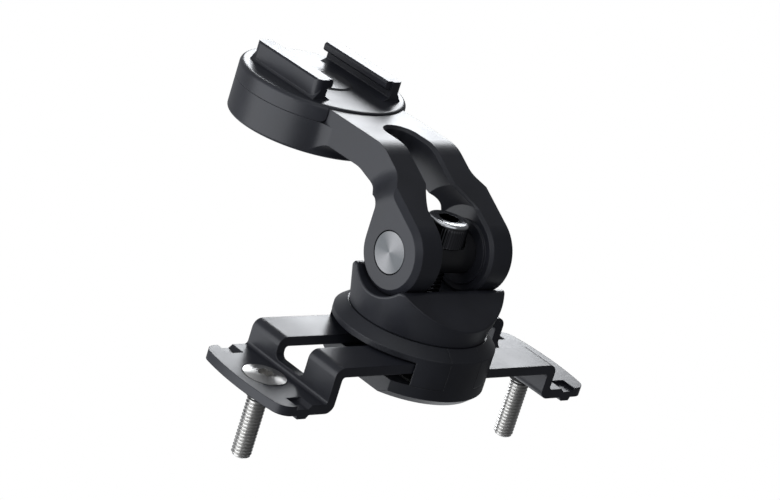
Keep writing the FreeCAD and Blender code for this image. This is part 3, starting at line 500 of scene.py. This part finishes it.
def add_softbox(name, direction, distance, width, height, radiance):
    """A rectangular light seen from the part in a direction. Its face has the given radiance."""
    centre = Vector(LIGHT_TARGET)
    data = bpy.data.lights.new(name, "AREA")
    data.shape = "RECTANGLE"
    data.size = width
    data.size_y = height
    data.energy = radiance * math.pi * width * height
    data.color = STUDIO_WHITE
    light = bpy.data.objects.new(name, data)
    aim(light, centre + distance * Vector(direction).normalized(), centre)
    light.visible_camera = False
    bpy.context.scene.collection.objects.link(light)


def build_backdrop():
    """White to the camera. The part reflects a room, darker to the right, with a lit table behind."""
    world = bpy.data.worlds.new("studio")
    world.use_nodes = True
    tree = world.node_tree
    background = tree.nodes["Background"]
    direction = tree.nodes.new("ShaderNodeTexCoord").outputs["Generated"]
    along = add_node(tree, "ShaderNodeSeparateXYZ", Vector=direction).outputs
    rightwards = calculate(tree, "SUBTRACT", along["X"], along["Y"])
    walls = remap(tree, rightwards, ROOM_GREY, DARK_WALL, -0.6, 0.9)
    low = remap(tree, along["Z"], TABLE_GLOW, 0.0, -0.7, -0.45)
    backwards = calculate(tree, "ADD", along["X"], along["Y"])
    table = calculate(tree, "MULTIPLY", low, remap(tree, backwards, 0.0, 1.0, 0.35, 0.9))
    room = calculate(tree, "ADD", walls, table)
    seen = tree.nodes.new("ShaderNodeLightPath").outputs["Is Camera Ray"]
    white_share = calculate(tree, "MULTIPLY", calculate(tree, "SUBTRACT", 1.0, room), seen)
    strength = calculate(tree, "ADD", room, white_share)
    tree.links.new(mix_colour(tree, seen, STUDIO_WHITE, (1.0, 1.0, 1.0)), background.inputs["Color"])
    tree.links.new(strength, background.inputs["Strength"])
    bpy.context.scene.world = world


def build_floor():
    """A plain white floor that only the camera sees, and only from above."""
    mesh = bmesh.new()
    bmesh.ops.create_grid(mesh, size=FLOOR_HALF_WIDTH)
    floor = make_object("floor", mesh)
    floor.location.z = cad_box[0][2] - FLOOR_DROP
    for ray in ("visible_diffuse", "visible_glossy", "visible_transmission", "visible_shadow"):
        setattr(floor, ray, False)
    material, tree = new_material("white_floor")
    glow = add_node(tree, "ShaderNodeEmission", Color=(1.0, 1.0, 1.0, 1.0), Strength=1.0)
    clear = tree.nodes.new("ShaderNodeBsdfTransparent")
    below = tree.nodes.new("ShaderNodeNewGeometry").outputs["Backfacing"]
    side = tree.nodes.new("ShaderNodeMixShader")
    output = tree.nodes.new("ShaderNodeOutputMaterial")
    for socket, source in zip(side.inputs, (below, glow.outputs[0], clear.outputs[0])):
        tree.links.new(source, socket)
    tree.links.new(side.outputs[0], output.inputs["Surface"])
    floor.data.materials.append(material)


def light_studio():
    """The back softbox draws the bright tops. The others fill the sides that face the camera."""
    add_softbox("back_softbox", direction=(0.61, 0.71, 0.35), distance=0.55,
                width=0.25, height=0.22, radiance=8.1)
    add_softbox("left_softbox", direction=(-0.95, 0.25, -0.08), distance=1.0,
                width=1.4, height=1.3, radiance=1.9)
    add_softbox("top_softbox", direction=(-0.1, 0.1, 1.0), distance=1.0,
                width=0.6, height=0.6, radiance=0.6)
    add_softbox("front_softbox", direction=(-0.3, -0.75, 0.7), distance=1.0,
                width=0.9, height=0.6, radiance=0.9)


def add_camera():
    """The camera of a product shot: a long lens, a little above the part and tilted."""
    azimuth = math.radians(-46.23)
    elevation = math.radians(19.01)
    roll = math.radians(17.58)
    target = Vector((-6.8, 5.9, 24.5)) * MM
    distance = 583.8 * MM
    back = Vector((math.sin(azimuth) * math.cos(elevation), -math.cos(azimuth) * math.cos(elevation),
                   math.sin(elevation)))
    level_right = Vector((0, 0, 1)).cross(back).normalized()
    level_up = back.cross(level_right)
    right = math.cos(roll) * level_right + math.sin(roll) * level_up
    up = back.cross(right)
    data = bpy.data.cameras.new("camera")
    data.lens = 140.5
    data.sensor_width = 36.0
    data.sensor_fit = "HORIZONTAL"
    data.clip_start = 0.01
    data.clip_end = 20.0
    camera = bpy.data.objects.new("camera", data)
    turned = Matrix((right, up, back)).transposed().to_4x4()
    camera.matrix_world = Matrix.Translation(target + back * distance) @ turned
    bpy.context.scene.collection.objects.link(camera)
    bpy.context.scene.camera = camera


paint_cad_nodes()
build_reservoir_screw("left_reservoir_screw", "left_screw")
build_reservoir_screw("right_reservoir_screw", "right_screw")
build_clamp_screw("clamp_screw", "clamp")
build_backdrop()
build_floor()
light_studio()
add_camera()
bpy.context.scene.view_settings.view_transform = "Standard"
